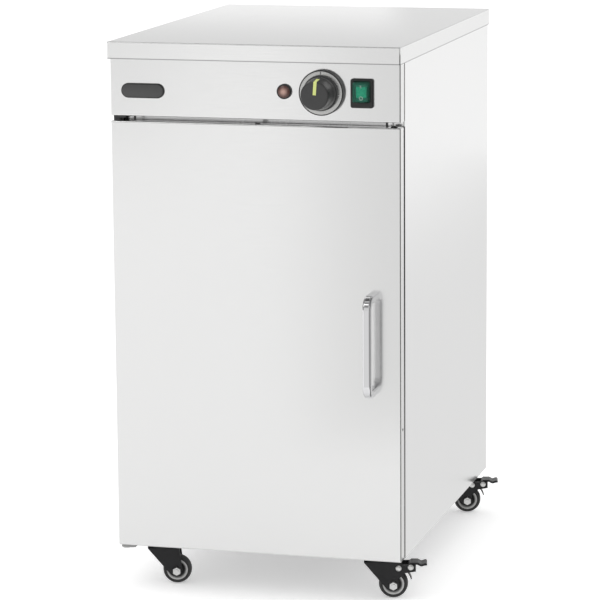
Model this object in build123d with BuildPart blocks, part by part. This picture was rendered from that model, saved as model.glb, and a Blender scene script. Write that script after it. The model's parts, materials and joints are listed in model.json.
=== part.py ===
from build123d import *
import os
from math import asin, cos, degrees, pi, radians, sin

os.makedirs("parts", exist_ok=True)

# Cabinet shell, millimetres
cabinet_width = 400.0  # across the side panels
cabinet_depth = 556.0  # from the door front to the outside of the back panel
ground_clearance = 64.0  # from the floor to the lower edge of door and sides
sheet = 1.0  # folded stainless sheet
fold_radius = 2.0  # outer radius of a fold
front_flange = 22.0  # side panel flange beside the door opening
inner_flange = 14.0  # side panel flanges at the rear, the top and the bottom
lid_skirt = 23.0
lid_overhang = 8.0  # lid front ahead of the fascia
lid_clearance = 0.5  # skirt to side panel
lid_hem = 5.0  # inward fold along the lower edge of the front skirt
lid_edge_radius = 1.4
pan_lip = 12.0  # rear upstand of the base pan
fit_gap = 0.2  # between sheets that only lie beside each other
back_inset = 0.5  # back panel edge to side panel face
vent_x = 66.0  # middle of the vent field
vent_width = 4.0
vent_length = 46.0
vent_rows = 5
vent_columns = 3
vent_pitch = 11.0
vent_spacing = 62.0
vent_drop = 62.0  # middle of the vent field under the lid

# Door and fascia
door_height = 588.5
door_depth = 19.5
door_lip = 12.0  # fold that closes in round the door's rear
door_gap = 7.0  # door top to fascia
fascia_height = 77.0  # visible height below the skirt
seal_gap = 2.5  # door rear to cabinet front
relief_width = 1.6  # slits at the ends of the door's top fold
relief_left = 170.0
relief_right = 180.0
panel_margin = 8.0  # inner door panel inside the door edge
panel_sheet = 0.8
gasket_width = 9.0
gasket_inset = 2.5  # gasket to the edge of the opening
gasket_clearance = 0.2
door_slab_gap = 1.0
strike_width = 40.0
strike_height = 12.0
strike_thickness = 1.2

# Bow handle
handle_x = 161.5  # right of the cabinet middle
handle_above_door = 298.4  # handle middle above the lower door edge
handle_spacing = 128.0
handle_reach = 37.5
handle_width = 11.2
handle_thickness = 10.6
handle_bend = 14.0
handle_edge = 2.6

# Liner and insulation
liner_sheet = 0.8
floor_rise = 24.0  # cavity floor above the lower cabinet edge
ceiling_drop = 27.0  # cavity ceiling below the fascia's lower edge
rail_height = 30.0  # front upstand of the ceiling
rear_space = 30.0  # liner rear to back panel
slab_clearance = 0.2
ceiling_slab = 20.0
rear_slab_rise = 60.0  # rear slab starts this far above the cavity floor
window_width = 74.0  # opening in the ceiling slab for sensor and cut-out
window_length = 90.0

# Heater
element_radius = 4.0
element_rise = 22.0  # tube centre above the cavity floor
element_pitch = 80.0
element_bend = 38.0
element_front = 66.0  # front loops behind the cabinet front
element_loop = 84.0  # rear loop ahead of the liner rear
element_tail = 20.0  # terminal ends behind the liner rear
element_clearance = 0.4
notch_clearance = 0.1
bracket_sheet = 1.5
bracket_reach = 140.0
bracket_front = 128.0
bracket_rear = 378.0
bracket_cover = 6.0
guard_rise = 37.0  # guard top above the cavity floor
guard_side_gap = 1.0
guard_end_gap = 8.0
guard_sheet = 1.0
guard_bridge = 22.0  # metal between the ends of two slots
guard_slot_width = 9.0
guard_slot_rows = 5
guard_slot_columns = 7

# Shelf
shelf_rise = 290.0  # shelf above the cavity floor
shelf_side_gap = 3.0
shelf_front_gap = 12.0
shelf_rear_gap = 6.0
frame_rod = 3.0  # radius
grid_rod = 2.0  # radius
grid_count = 11
frame_corner = 18.0
runner_sheet = 1.2
runner_shelf = 15.0
runner_web = 14.0
runner_gap = 0.05
runner_front = 20.0
runner_length = 420.0
runner_levels = 2
runner_pitch = 170.0

# Controls on the fascia
control_line = 38.1  # above the fascia's lower edge
lamp_x = 42.5
lamp_radius = 10.0
lamp_rim = 1.8
lamp_flange = 4.0
lamp_stem = 6.0  # radius
lamp_depth = 24.0
lens_height = 6.5
lens_shoulder = 4.0
dial_x = 94.2
bezel_radius = 30.0
bezel_height = 9.0
bezel_front = 2.5  # thickness of the cup's front
bezel_wall = 2.2
bezel_chamfer = 0.6
ring_outer = 29.0  # radius of the ring groove in the bezel front
ring_inner = 22.0
ring_groove = 0.6
spindle_radius = 3.0
running_fit = 0.05  # radial, turning parts
seat_fit = 0.02  # radial, fixed parts
knob_skirt_radius = 23.5
knob_skirt_height = 3.6
knob_base = 9.8  # knob rear ahead of the fascia
knob_front = 42.0  # knob face ahead of the fascia
knob_root_radius = 22.3
knob_face_radius = 18.8
knob_edge = 2.2
knob_bore_depth = 18.0
pointer_width = 4.6
pointer_depth = 0.6
pointer_inner = 0.7
pointer_wrap = 16.0  # along the knob's side
pointer_lean = 4.0  # degrees to the right of upright
thermostat_width = 42.0
thermostat_height = 36.0
thermostat_depth = 30.0
spindle_depth = 12.0
spindle_hole = 5.0  # radius in fascia and bezel
capillary_radius = 1.2
capillary_bend = 8.0
bulb_radius = 3.0
bulb_length = 86.0
bulb_drop = 10.0  # under the ceiling
sensor_depth = 160.0  # ceiling passage behind the cabinet front
clip_sheet = 1.0
clip_width = 8.0
cutout_radius = 8.0
cutout_height = 10.0
cutout_flange = 12.0
cutout_offset = 20.0
switch_x = 148.5
frame_width = 30.6
frame_height = 38.6
frame_thickness = 4.5
frame_corner_radius = 3.0
switch_rise = 2.2  # switch middle above the frame middle
boot_width = 23.0
boot_height = 28.2
boot_front = 14.0
boot_taper = 5.0  # degrees
boot_wall = 1.0
boot_flange = 2.0
boot_flange_thickness = 1.0
boot_clearance = 0.2
boot_round = 2.5
switch_width = 21.5
switch_height = 28.0
switch_depth = 26.0
cutout_margin = 0.25
rocker_width = 12.6
rocker_height = 21.5
rocker_front = 9.5
rocker_dish = 1.4
rocker_root = 3.5
rocker_pivot = 2.0  # behind the fascia face
rocker_tilt = 6.0  # degrees either side of level
trunnion_radius = 1.2
trunnion_length = 1.5
recess_gap = 0.35
recess_height = 19.0
recess_depth = 7.0
terminal_x = -40.0
terminal_width = 52.0
terminal_height = 20.0
terminal_depth = 22.0
terminal_poles = 3
terminal_slot = 11.0
terminal_slot_depth = 6.0

# Cable gland at the rear
gland_x = -120.0
gland_above_fascia = 32.0
gland_bore = 4.2  # radius
gland_thread = 8.0  # radius
gland_nut = 11.0
gland_reach = 14.0
gland_nut_length = 4.0
gland_dome = 8.0

# Pivot hinges
hinge_inset = 8.0  # pin axis from the left door edge
hinge_depth = 9.0  # pin axis behind the door front
pin_radius = 3.0
pin_engagement = 14.0
pin_head_radius = 4.6
pin_head_height = 2.0
hinge_plate = 3.0
hinge_plate_width = 20.0
hinge_plate_front = 2.5
hinge_plate_round = 5.0
hinge_clearance = 0.5  # lower plate to door
hinge_tail = 36.0  # lower plate behind the cabinet front
hinge_tail_width = 18.0
bush_radius = 5.0
bush_flange = 7.0
bush_flange_thickness = 1.5
bush_length = 12.0
bush_collar = 6.4  # radius of the upper bush's collar on the door
collar_gap = 0.3  # collar to the upper plate
catch_width = 46.0
catch_height = 14.0
catch_depth = 14.0
catch_x = 138.0
catch_gap = 0.4

# Swivel casters; places on a fork are measured from its swivel axis and from the floor
caster_turn = 13.0  # degrees that each fork stands turned to the rear
caster_inset = 45.5  # pivot to the side panel face
caster_front = 29.0  # pivot behind the cabinet front, or ahead of its rear
caster_trail = 21.6
wheel_radius = 20.0
wheel_width = 17.0
tread_crown = 1.8
hub_radius = 14.8
hub_rim = 2.6
hub_boss = 6.5
hub_web = 3.0  # half thickness
hub_rim_half = 7.6
axle_radius = 3.0
axle_flats = 10.0
hex_sides = 6
axle_head = 4.0
axle_nut = 6.0
bolt_end = 1.6  # bolt beyond its nut
side_clearance = 2.7  # tyre to fork plate
boss_clearance = 0.3
fork_plate = 2.3
fork_bend = 3.4  # outer radius of the channel's bends
fork_top = 54.0
fork_left = -18.5
fork_right = 25.0
fork_brace = 33.5  # crown end where the fork carries a brake
fork_shoulder = 2.5
fork_end = 7.6
fork_toe = 3.6  # lower end ahead of the axle
raceway_radius = 16.0
raceway_rise = 1.2
raceway_gap = 0.3
housing_top_radius = 20.0
housing_radius = 16.5
kingpin_radius = 4.0
kingpin_head = 7.0
kingpin_head_height = 3.0
kingpin_gap = 0.2
top_plate_size = 50.0
top_plate_thickness = 2.5
top_plate_corner = 5.0
arm_end = 52.2
arm_low = 39.3
arm_high = 48.5
arm_root_x = 37.6
arm_root_z = 36.9
arm_neck_x = 29.8
arm_neck_z = 29.7
rivet_radius = 2.4
rivet_head = 4.1
rivet_rise = 1.8
stop_rivet_x = 28.7
stop_rivet_z = 43.6
pedal_pivot_x = 45.2
pedal_pivot_z = 45.0
pedal_gap = 0.4  # pedal to fork plate
pedal_skin = 1.6
pedal_depth = 3.0  # side flanges below the pedal's surface
pedal_bend = 2.4
pedal_round = 1.5
pedal_tip = 67.6
pedal_root = 6.3  # lower end ahead of the pivot
pedal_root_drop = 1.8  # lower end under the pivot
pedal_crest = 6.2  # flat top above the pivot
pedal_crest_length = 9.8
pedal_dip = 2.6  # hollow under the flat top
pedal_dip_reach = 4.6
pedal_lip_fall = 4.0  # turned down end
cheek_reach = 5.6
cheek_drop = 4.6
leaf_thickness = 1.2
leaf_half_width = 6.0
leaf_clearance = 4.7  # to the tyre
leaf_low = 14.5  # degrees above the axle
leaf_high = 38.0

# Levels and faces that follow from the sizes
half_width = cabinet_width / 2
cabinet_front = door_depth + seal_gap
side_rear = cabinet_depth - sheet
door_bottom = ground_clearance
door_top = door_bottom + door_height
fascia_bottom = door_top + door_gap
skirt_bottom = fascia_bottom + fascia_height
lid_top = skirt_bottom + lid_skirt
cabinet_top = lid_top - sheet
lid_half = half_width + lid_clearance + sheet
lid_rear = cabinet_depth + lid_clearance + sheet
cavity_half = half_width - front_flange
cavity_front = cabinet_front + sheet
cavity_rear = side_rear - rear_space
cavity_floor = ground_clearance + floor_rise
cavity_ceiling = fascia_bottom - ceiling_drop
control_height = fascia_bottom + control_line
switch_line = control_height + switch_rise
gland_height = fascia_bottom + gland_above_fascia
pan_level = ground_clearance + sheet
hinge_x = hinge_inset - half_width
pivot_half = half_width - caster_inset
pivot_front = cabinet_front + caster_front
pivot_rear = cabinet_depth - caster_front
fork_inner = wheel_width / 2 + side_clearance
fork_outer = fork_inner + fork_plate
pedal_half = fork_inner - pedal_gap

# Directions of a caster as it stands
turn = radians(caster_turn)
along_fork = (cos(turn), sin(turn), 0)
along_axle = (-sin(turn), cos(turn), 0)

# The frame's origin lies on the floor under the middle of the outline
corner_reach = (pedal_tip - pedal_round) * cos(turn) + (pedal_half - pedal_round) * sin(turn)
brake_reach = pivot_half + corner_reach + pedal_round
front_reach = max(knob_front, handle_reach)
middle_x = (lid_half - brake_reach) / 2
front_y = (front_reach - cabinet_depth - gland_reach) / 2


def level(height):
    """Horizontal plane: x right of the middle, y behind the door front."""
    return Plane(origin=(middle_x, front_y, height))


def upright(depth):
    """Plane parallel to the door: x right of the middle, y up, normal to the front."""
    return Plane(origin=(middle_x, front_y + depth, 0), x_dir=(1, 0, 0), z_dir=(0, -1, 0))


def crosswise(right):
    """Plane parallel to the sides: x behind the door front, y up, normal to the right."""
    return Plane(origin=(middle_x + right, front_y, 0), x_dir=(0, 1, 0), z_dir=(1, 0, 0))


def turning(right, height):
    """Half section of a piece turned about a front to rear axis: x behind the door front, y radius."""
    return Plane(origin=(middle_x + right, front_y, height), x_dir=(0, 1, 0), z_dir=(1, 0, 0))


def turning_axis(right, height):
    return Axis((middle_x + right, front_y, height), (0, 1, 0))


def across_fork(origin):
    """Plane square to a fork: x along its axle, y up, normal along the fork."""
    return Plane(origin=origin, x_dir=along_axle, z_dir=along_fork)


def area(left, right, low, high, mode=Mode.ADD):
    """Rectangle between two pairs of edges in the sketch that is open."""
    with Locations(((left + right) / 2, (low + high) / 2)):
        Rectangle(right - left, high - low, mode=mode)


def cap_middle(radius, rise):
    """Half way point on a round cap's outline: above its rim, and from its axis."""
    curve = (radius**2 + rise**2) / (2 * rise)
    half_angle = asin(radius / curve) / 2
    return rise - curve * (1 - cos(half_angle)), curve * sin(half_angle)


def keep(piece, name):
    """Label a finished piece and write its file."""
    piece.part.label = name
    export_step(piece.part, f"parts/{name}.step")


# Lid: one folded sheet with a skirt all round and a hem under the front
with BuildPart() as top_cover:
    with BuildSketch(level(skirt_bottom)):
        with Locations((0, (lid_rear - lid_overhang) / 2)):
            RectangleRounded(2 * lid_half, lid_rear + lid_overhang, fold_radius)
    extrude(amount=lid_skirt)
    fillet(top_cover.faces().sort_by(Axis.Z)[-1].edges(), lid_edge_radius)
    offset(amount=-sheet, openings=top_cover.faces().sort_by(Axis.Z)[0])
    with BuildSketch(level(skirt_bottom)):
        area(-half_width, half_width, sheet / 2 - lid_overhang, lid_hem - lid_overhang + sheet)
    extrude(amount=sheet)
keep(top_cover, "top_cover")

# Side panels: folded to the front and the rear, with ledges for the lid and the base pan
with BuildPart() as right_side_panel:
    with BuildSketch(level(ground_clearance)):
        with BuildLine():
            FilletPolyline(
                (cavity_half, cabinet_front),
                (half_width, cabinet_front),
                (half_width, side_rear),
                (half_width - inner_flange, side_rear),
                radius=fold_radius,
            )
            offset(amount=sheet, side=Side.LEFT)
        make_face()
    extrude(amount=cabinet_top - ground_clearance)
    for ledge in (ground_clearance, cabinet_top - sheet):
        with BuildSketch(level(ledge)):
            ledge_end = half_width - sheet / 2
            area(half_width - inner_flange, ledge_end, cabinet_front + fold_radius, side_rear - fold_radius)
        extrude(amount=sheet)
keep(right_side_panel, "right_side_panel")

with BuildPart() as left_side_panel:
    mirror(right_side_panel.part, about=crosswise(0))
keep(left_side_panel, "left_side_panel")

# Back panel: flat sheet on the rear flanges, with a field of vent slots and the gland hole
with BuildPart() as back_panel:
    with BuildSketch(upright(cabinet_depth)):
        area(back_inset - half_width, half_width - back_inset, ground_clearance, cabinet_top)
        with Locations((vent_x, lid_top - vent_drop)):
            with GridLocations(vent_spacing, vent_pitch, vent_columns, vent_rows):
                SlotOverall(vent_length, vent_width, mode=Mode.SUBTRACT)
        with Locations((gland_x, gland_height)):
            Circle(gland_thread + seat_fit, mode=Mode.SUBTRACT)
    extrude(amount=sheet)
keep(back_panel, "back_panel")

# Base pan: its front upstand is the lower rail of the door opening, its wings lie on the side ledges
with BuildPart() as base_pan:
    pan_rear = side_rear - sheet - fit_gap
    with BuildSketch(crosswise(-cavity_half)):
        with BuildLine():
            FilletPolyline(
                (cabinet_front, cavity_floor),
                (cabinet_front, pan_level),
                (pan_rear, pan_level),
                (pan_rear, pan_level + pan_lip),
                radius=fold_radius,
            )
            offset(amount=sheet, side=Side.LEFT)
        make_face()
    extrude(amount=2 * cavity_half)
    with BuildSketch(level(pan_level)):
        wing_half = half_width - sheet - fit_gap
        area(-wing_half, wing_half, cavity_front + fold_radius, pan_rear - fold_radius)
    extrude(amount=sheet)
keep(base_pan, "base_pan")

# Control fascia: folded tray with the three control openings
with BuildPart() as control_fascia:
    with BuildSketch(upright(cabinet_front)):
        area(-half_width, half_width, fascia_bottom, cabinet_top)
    extrude(amount=cabinet_front)
    fillet(control_fascia.faces().sort_by(Axis.Y)[0].edges(), fold_radius)
    with BuildSketch(upright(cabinet_front)):
        area(sheet - half_width, half_width - sheet, fascia_bottom + sheet, cabinet_top - sheet)
    extrude(amount=cabinet_front - sheet, mode=Mode.SUBTRACT)
    with BuildSketch(upright(sheet)):
        with Locations((lamp_x, control_height)):
            Circle(lamp_stem + seat_fit)
        with Locations((dial_x, control_height)):
            Circle(spindle_hole)
        with Locations((switch_x, switch_line)):
            Rectangle(switch_width + 2 * cutout_margin, switch_height + 2 * cutout_margin)
    extrude(amount=sheet, mode=Mode.SUBTRACT)
keep(control_fascia, "control_fascia")

# Liner: two walls, a rear wall, a floor and a ceiling whose front fold is the upper rail
liner_half = cavity_half + liner_sheet
for name, inner in (("liner_right", cavity_half), ("liner_left", -liner_half)):
    with BuildPart() as liner_wall:
        with BuildSketch(crosswise(inner)):
            area(cavity_front, cavity_rear, cavity_floor - liner_sheet, cavity_ceiling + liner_sheet)
        extrude(amount=liner_sheet)
    keep(liner_wall, name)

element_height = cavity_floor + element_rise
inner_x = element_pitch / 2
tail_x = inner_x + element_pitch
with BuildPart() as liner_back:
    with BuildSketch(upright(cavity_rear + liner_sheet)):
        area(-liner_half, liner_half, cavity_floor - liner_sheet, cavity_ceiling + liner_sheet)
        with Locations((tail_x, element_height), (-tail_x, element_height)):
            Circle(element_radius + element_clearance, mode=Mode.SUBTRACT)
    extrude(amount=liner_sheet)
keep(liner_back, "liner_back")

with BuildPart() as liner_floor:
    with BuildSketch(level(cavity_floor - liner_sheet)):
        area(-cavity_half, cavity_half, cavity_front, cavity_rear)
    extrude(amount=liner_sheet)
keep(liner_floor, "liner_floor")

sensor_y = cabinet_front + sensor_depth
with BuildPart() as liner_ceiling:
    with BuildSketch(crosswise(-cavity_half)):
        with BuildLine():
            FilletPolyline(
                (cabinet_front, cavity_ceiling + rail_height),
                (cabinet_front, cavity_ceiling),
                (cavity_rear, cavity_ceiling),
                radius=fold_radius,
            )
            offset(amount=liner_sheet, side=Side.LEFT)
        make_face()
    extrude(amount=2 * cavity_half)
    with BuildSketch(level(cavity_ceiling)):
        with Locations((dial_x, sensor_y)):
            Circle(capillary_radius + element_clearance)
    extrude(amount=liner_sheet, mode=Mode.SUBTRACT)
keep(liner_ceiling, "liner_ceiling")

# Insulation: slabs in both sides, behind the liner and above its ceiling
slab_top = cavity_ceiling + liner_sheet + slab_clearance + ceiling_slab
with BuildPart() as wall_insulation:
    slab_base = pan_level + sheet + slab_clearance
    slab_inner = liner_half + slab_clearance
    slab_outer = half_width - sheet - slab_clearance
    with BuildSketch(level(slab_base)):
        for left, right in ((slab_inner, slab_outer), (-slab_outer, -slab_inner)):
            area(left, right, cavity_front + fold_radius, side_rear - sheet - fold_radius)
    extrude(amount=slab_top - slab_base)
    with BuildSketch(upright(side_rear - slab_clearance)):
        rear_half = half_width - front_flange
        area(-rear_half, rear_half, cavity_floor + rear_slab_rise, cavity_ceiling)
    extrude(amount=rear_space - liner_sheet - 2 * slab_clearance)
    with BuildSketch(level(cavity_ceiling + liner_sheet + slab_clearance)):
        ceiling_half = cavity_half - slab_clearance
        area(-ceiling_half, ceiling_half, cavity_front + fold_radius, cavity_rear)
        with Locations((dial_x, sensor_y + cutout_offset / 2)):
            Rectangle(window_width, window_length, mode=Mode.SUBTRACT)
    extrude(amount=ceiling_slab)
keep(wall_insulation, "wall_insulation")

# Pilot lamp: dark body with a rim round a domed lens
with BuildPart() as pilot_lamp_body:
    lens_radius = lamp_radius - lamp_rim
    with BuildSketch(turning(lamp_x, control_height)):
        with BuildLine():
            Polyline(
                (lamp_depth, 0),
                (lamp_depth, lamp_stem),
                (0, lamp_stem),
                (0, lamp_radius),
                (lamp_rim / 2 - lamp_flange, lamp_radius),
                (-lamp_flange, lamp_radius - lamp_rim / 2),
                (-lamp_flange, lens_radius),
                (-lamp_flange / 2, lens_radius),
                (-lamp_flange / 2, 0),
                close=True,
            )
        make_face()
    revolve(axis=turning_axis(lamp_x, control_height))
keep(pilot_lamp_body, "pilot_lamp_body")

lens_edge = lens_radius - seat_fit
dome_rise, dome_radius = cap_middle(lens_edge, lens_height - lens_shoulder)
with BuildPart() as pilot_lamp_lens:
    with BuildSketch(turning(lamp_x, control_height)):
        with BuildLine():
            lens_side = Polyline(
                (-lens_height, 0),
                (-lamp_flange / 2, 0),
                (-lamp_flange / 2, lens_edge),
                (-lens_shoulder, lens_edge),
            )
            ThreePointArc(lens_side @ 1, (-lens_shoulder - dome_rise, dome_radius), lens_side @ 0)
        make_face()
    revolve(axis=turning_axis(lamp_x, control_height))
keep(pilot_lamp_lens, "pilot_lamp_lens")

# Thermostat: cup shaped bezel with a groove for the scale ring, body, spindle and knob
with BuildPart() as dial_bezel:
    with BuildSketch(turning(dial_x, control_height)):
        with BuildLine():
            Polyline(
                (0, bezel_radius - bezel_wall),
                (0, bezel_radius),
                (bezel_chamfer - bezel_height, bezel_radius),
                (-bezel_height, bezel_radius - bezel_chamfer),
                (-bezel_height, ring_outer),
                (ring_groove - bezel_height, ring_outer),
                (ring_groove - bezel_height, ring_inner),
                (-bezel_height, ring_inner),
                (-bezel_height, spindle_hole),
                (bezel_front - bezel_height, spindle_hole),
                (bezel_front - bezel_height, bezel_radius - bezel_wall),
                close=True,
            )
        make_face()
    revolve(axis=turning_axis(dial_x, control_height))
keep(dial_bezel, "dial_bezel")

with BuildPart() as thermostat_body:
    with BuildSketch(upright(sheet + thermostat_depth)):
        with Locations((dial_x, control_height)):
            RectangleRounded(thermostat_width, thermostat_height, fold_radius)
    extrude(amount=thermostat_depth)
    with BuildSketch(upright(sheet)):
        with Locations((dial_x, control_height)):
            Circle(spindle_radius + running_fit)
    extrude(amount=-spindle_depth - running_fit, mode=Mode.SUBTRACT)
keep(thermostat_body, "thermostat_body")

spindle_front = knob_base + knob_bore_depth - running_fit
with BuildPart() as thermostat_spindle:
    with BuildSketch(upright(sheet + spindle_depth)):
        with Locations((dial_x, control_height)):
            Circle(spindle_radius)
    extrude(amount=sheet + spindle_depth + spindle_front)
keep(thermostat_spindle, "thermostat_spindle")

with BuildPart() as thermostat_knob:
    with BuildSketch(turning(dial_x, control_height)):
        with BuildLine():
            skirt_front = -knob_base - knob_skirt_height
            Polyline(
                (-knob_base - knob_bore_depth, 0),
                (-knob_base - knob_bore_depth, spindle_radius + seat_fit),
                (-knob_base, spindle_radius + seat_fit),
                (-knob_base, knob_skirt_radius),
                (skirt_front + knob_edge / 2, knob_skirt_radius),
                (skirt_front, knob_skirt_radius - knob_edge / 2),
                (skirt_front, knob_root_radius),
                (-knob_front, knob_face_radius),
                (-knob_front, 0),
                close=True,
            )
        make_face()
    revolve(axis=turning_axis(dial_x, control_height))
    fillet(thermostat_knob.faces().sort_by(Axis.Y)[0].edges(), knob_edge)
    lean = radians(pointer_lean)
    pointer_plane = Plane(
        origin=(middle_x + dial_x, front_y, control_height),
        x_dir=(0, 1, 0),
        z_dir=(cos(lean), 0, -sin(lean)),
    )
    knob_slope = (knob_root_radius - knob_face_radius) / (knob_front + skirt_front)
    wrap_radius = knob_face_radius + knob_slope * pointer_wrap
    with BuildSketch(pointer_plane):
        with BuildLine():
            Polyline(
                (-knob_front - pointer_depth, pointer_inner),
                (pointer_depth - knob_front, pointer_inner),
                (pointer_depth - knob_front, knob_face_radius - knob_edge),
                (knob_edge - knob_front, knob_face_radius - pointer_depth),
                (pointer_wrap - knob_front, wrap_radius - pointer_depth),
                (pointer_wrap - knob_front, knob_skirt_radius),
                (-knob_front - pointer_depth, knob_skirt_radius),
                close=True,
            )
        make_face()
    extrude(amount=pointer_width / 2, both=True, mode=Mode.SUBTRACT)
keep(thermostat_knob, "thermostat_knob")

# Sensor: capillary tube from the thermostat through the ceiling to a bulb held by a clip
sensor_rear = sheet + thermostat_depth
bulb_height = cavity_ceiling - bulb_drop
bulb_start = sensor_y + 2 * capillary_bend
with BuildPart() as sensor_capillary:
    with BuildLine(crosswise(dial_x)):
        FilletPolyline(
            (sensor_rear, control_height),
            (sensor_y, control_height),
            (sensor_y, bulb_height),
            (bulb_start + bulb_radius, bulb_height),
            radius=capillary_bend,
        )
    with BuildSketch(upright(sensor_rear)):
        with Locations((dial_x, control_height)):
            Circle(capillary_radius)
    sweep()
    with BuildSketch(upright(bulb_start + bulb_length)):
        with Locations((dial_x, bulb_height)):
            Circle(bulb_radius)
    extrude(amount=bulb_length)
    with BuildSketch(upright(bulb_start + bulb_length / 2)):
        with Locations((dial_x, bulb_height)):
            Circle(bulb_radius + seat_fit + clip_sheet)
        area(dial_x - clip_sheet, dial_x + clip_sheet, bulb_height, cavity_ceiling)
        area(dial_x - clip_width, dial_x + clip_width, cavity_ceiling - clip_sheet, cavity_ceiling)
        with Locations((dial_x, bulb_height)):
            Circle(bulb_radius, mode=Mode.SUBTRACT)
    extrude(amount=clip_width)
keep(sensor_capillary, "sensor_capillary")

with BuildPart() as safety_cutout:
    with BuildSketch(level(cavity_ceiling + liner_sheet)):
        with Locations((dial_x, sensor_y + 2 * cutout_offset)):
            Circle(cutout_flange)
    extrude(amount=sheet)
    with BuildSketch(level(cavity_ceiling + liner_sheet)):
        with Locations((dial_x, sensor_y + 2 * cutout_offset)):
            Circle(cutout_radius)
    extrude(amount=cutout_height)
keep(safety_cutout, "safety_cutout")

# Rocker switch: frame, soft boot, body with a recess, and the rocker on two trunnions
boot_flange_width = boot_width + 2 * boot_flange
boot_flange_height = boot_height + 2 * boot_flange
with BuildPart() as switch_frame:
    with BuildSketch(upright(0)):
        with Locations((switch_x, control_height)):
            RectangleRounded(frame_width, frame_height, frame_corner_radius)
        with Locations((switch_x, switch_line)):
            RectangleRounded(
                boot_width + 2 * boot_clearance,
                boot_height + 2 * boot_clearance,
                boot_round,
                mode=Mode.SUBTRACT,
            )
    extrude(amount=frame_thickness)
    chamfer(switch_frame.faces().sort_by(Axis.Y)[0].outer_wire().edges(), boot_wall)
    with BuildSketch(upright(0)):
        with Locations((switch_x, switch_line)):
            Rectangle(boot_flange_width + 2 * boot_clearance, boot_flange_height + 2 * boot_clearance)
    extrude(amount=boot_flange_thickness, mode=Mode.SUBTRACT)
keep(switch_frame, "switch_frame")

with BuildPart() as switch_boot:
    with BuildSketch(upright(0)):
        with Locations((switch_x, switch_line)):
            RectangleRounded(boot_width, boot_height, boot_round)
    extrude(amount=boot_front, taper=boot_taper)
    fillet(switch_boot.faces().sort_by(Axis.Y)[0].edges(), boot_wall)
    with BuildSketch(upright(0)):
        inner_width = boot_width - 2 * boot_wall
        inner_height = boot_height - 2 * boot_wall
        with Locations((switch_x, switch_line)):
            RectangleRounded(inner_width, inner_height, boot_round - boot_wall)
    extrude(amount=boot_front - boot_wall, taper=boot_taper, mode=Mode.SUBTRACT)
    with BuildSketch(upright(0)):
        with Locations((switch_x, switch_line)):
            Rectangle(boot_flange_width, boot_flange_height)
            Rectangle(boot_width - boot_wall, boot_height - boot_wall, mode=Mode.SUBTRACT)
    extrude(amount=boot_flange_thickness)
keep(switch_boot, "switch_boot")

recess_half = rocker_width / 2 + recess_gap
with BuildPart() as switch_body:
    with BuildSketch(upright(switch_depth)):
        with Locations((switch_x, switch_line)):
            Rectangle(switch_width, switch_height)
    extrude(amount=switch_depth)
    with BuildSketch(upright(0)):
        with Locations((switch_x, switch_line)):
            Rectangle(2 * recess_half, recess_height)
    extrude(amount=-recess_depth, mode=Mode.SUBTRACT)
    with BuildSketch(crosswise(switch_x)):
        with Locations((rocker_pivot, switch_line)):
            Circle(trunnion_radius + running_fit)
    extrude(amount=recess_half + trunnion_length, both=True, mode=Mode.SUBTRACT)
keep(switch_body, "switch_body")

tilt = radians(rocker_tilt)
rocker_plane = Plane(
    origin=(middle_x + switch_x, front_y + rocker_pivot, switch_line),
    x_dir=(0, cos(tilt), sin(tilt)),
    z_dir=(1, 0, 0),
)
with BuildPart() as switch_rocker:
    with BuildSketch(rocker_plane):
        with BuildLine():
            rocker_face = -rocker_front - rocker_pivot
            rocker_half = rocker_height / 2
            Polyline(
                (rocker_face, -rocker_half),
                (rocker_face + rocker_dish, 0),
                (rocker_face, rocker_half),
                (rocker_face / 2, rocker_half),
                (trunnion_radius, rocker_root),
                (trunnion_radius + trunnion_length, 0),
                (trunnion_radius, -rocker_root),
                (rocker_face / 2, -rocker_half),
                close=True,
            )
        make_face()
    extrude(amount=rocker_width / 2, both=True)
    with BuildSketch(rocker_plane):
        Circle(trunnion_radius)
    extrude(amount=recess_half + trunnion_length - running_fit, both=True)
keep(switch_rocker, "switch_rocker")

# Terminal block on the inside of the back panel
with BuildPart() as terminal_block:
    terminal_front = side_rear - terminal_depth
    with BuildSketch(upright(side_rear)):
        with Locations((terminal_x, gland_height)):
            Rectangle(terminal_width, terminal_height)
    extrude(amount=terminal_depth)
    with BuildSketch(upright(terminal_front + terminal_slot_depth)):
        with Locations((terminal_x, gland_height)):
            with GridLocations(terminal_width / terminal_poles, 0, terminal_poles, 1):
                Rectangle(terminal_slot, terminal_slot)
    extrude(amount=terminal_slot_depth, mode=Mode.SUBTRACT)
keep(terminal_block, "terminal_block")

# Cable gland: dome nut outside, thread through the sheet, lock nut inside
with BuildPart() as cable_gland:
    with BuildSketch(turning(gland_x, gland_height)):
        with BuildLine():
            lock_front = side_rear - gland_nut_length
            gland_end = cabinet_depth + gland_reach
            Polyline(
                (lock_front - gland_nut_length, gland_bore),
                (lock_front - gland_nut_length, gland_thread),
                (lock_front, gland_thread),
                (lock_front, gland_nut),
                (side_rear, gland_nut),
                (side_rear, gland_thread),
                (cabinet_depth, gland_thread),
                (cabinet_depth, gland_nut),
                (gland_end - gland_nut_length, gland_nut),
                (gland_end, gland_dome),
                (gland_end, gland_bore),
                close=True,
            )
        make_face()
    revolve(axis=turning_axis(gland_x, gland_height))
keep(cable_gland, "cable_gland")

# Heater: one tube bent in three loops, two notched brackets and a slotted guard over it
loop_front = cabinet_front + element_front
loop_rear = cavity_rear - element_loop
element_end = cavity_rear + element_tail
with BuildPart() as heating_element:
    with BuildLine(level(element_height)):
        FilletPolyline(
            (-tail_x, element_end),
            (-tail_x, loop_front),
            (-inner_x, loop_front),
            (-inner_x, loop_rear),
            (inner_x, loop_rear),
            (inner_x, loop_front),
            (tail_x, loop_front),
            (tail_x, element_end),
            radius=element_bend,
        )
    with BuildSketch(upright(element_end)):
        with Locations((-tail_x, element_height)):
            Circle(element_radius)
    sweep()
keep(heating_element, "heating_element")

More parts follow.
